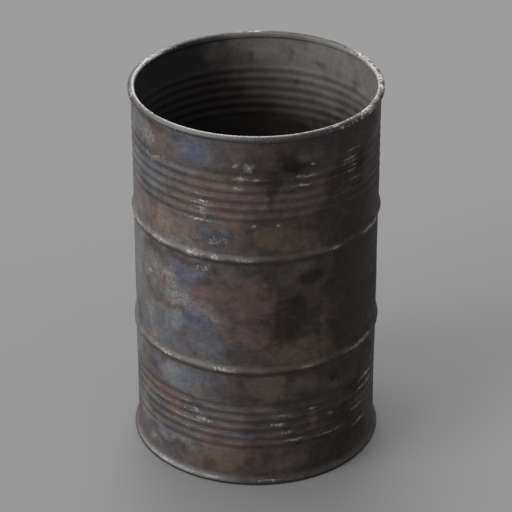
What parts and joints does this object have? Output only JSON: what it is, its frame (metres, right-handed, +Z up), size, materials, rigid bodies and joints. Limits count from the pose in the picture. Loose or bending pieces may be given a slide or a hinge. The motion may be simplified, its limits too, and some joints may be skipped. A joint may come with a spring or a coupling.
{
  "type": "open-head steel drum",
  "caption": "Rusty open-topped steel drum with a curled rim, rolling hoops, corrugated bands and a rolled bottom chime.",
  "frame": {"origin": "centre of the drum at the floor", "axes": "+Z up along the drum's axis"},
  "size_m": [0.5931, 0.593, 0.912],
  "materials": {
    "body_steel": "bare steel sheet, burnt and rusted, with blue-grey scale and worn crests",
    "head_steel": "bare steel sheet, rusted and dirty, worn at the chime"
  },
  "bodies": {
    "root": {"body_shell": "body_steel", "bottom_head": "head_steel"}
  },
  "joints": []
}
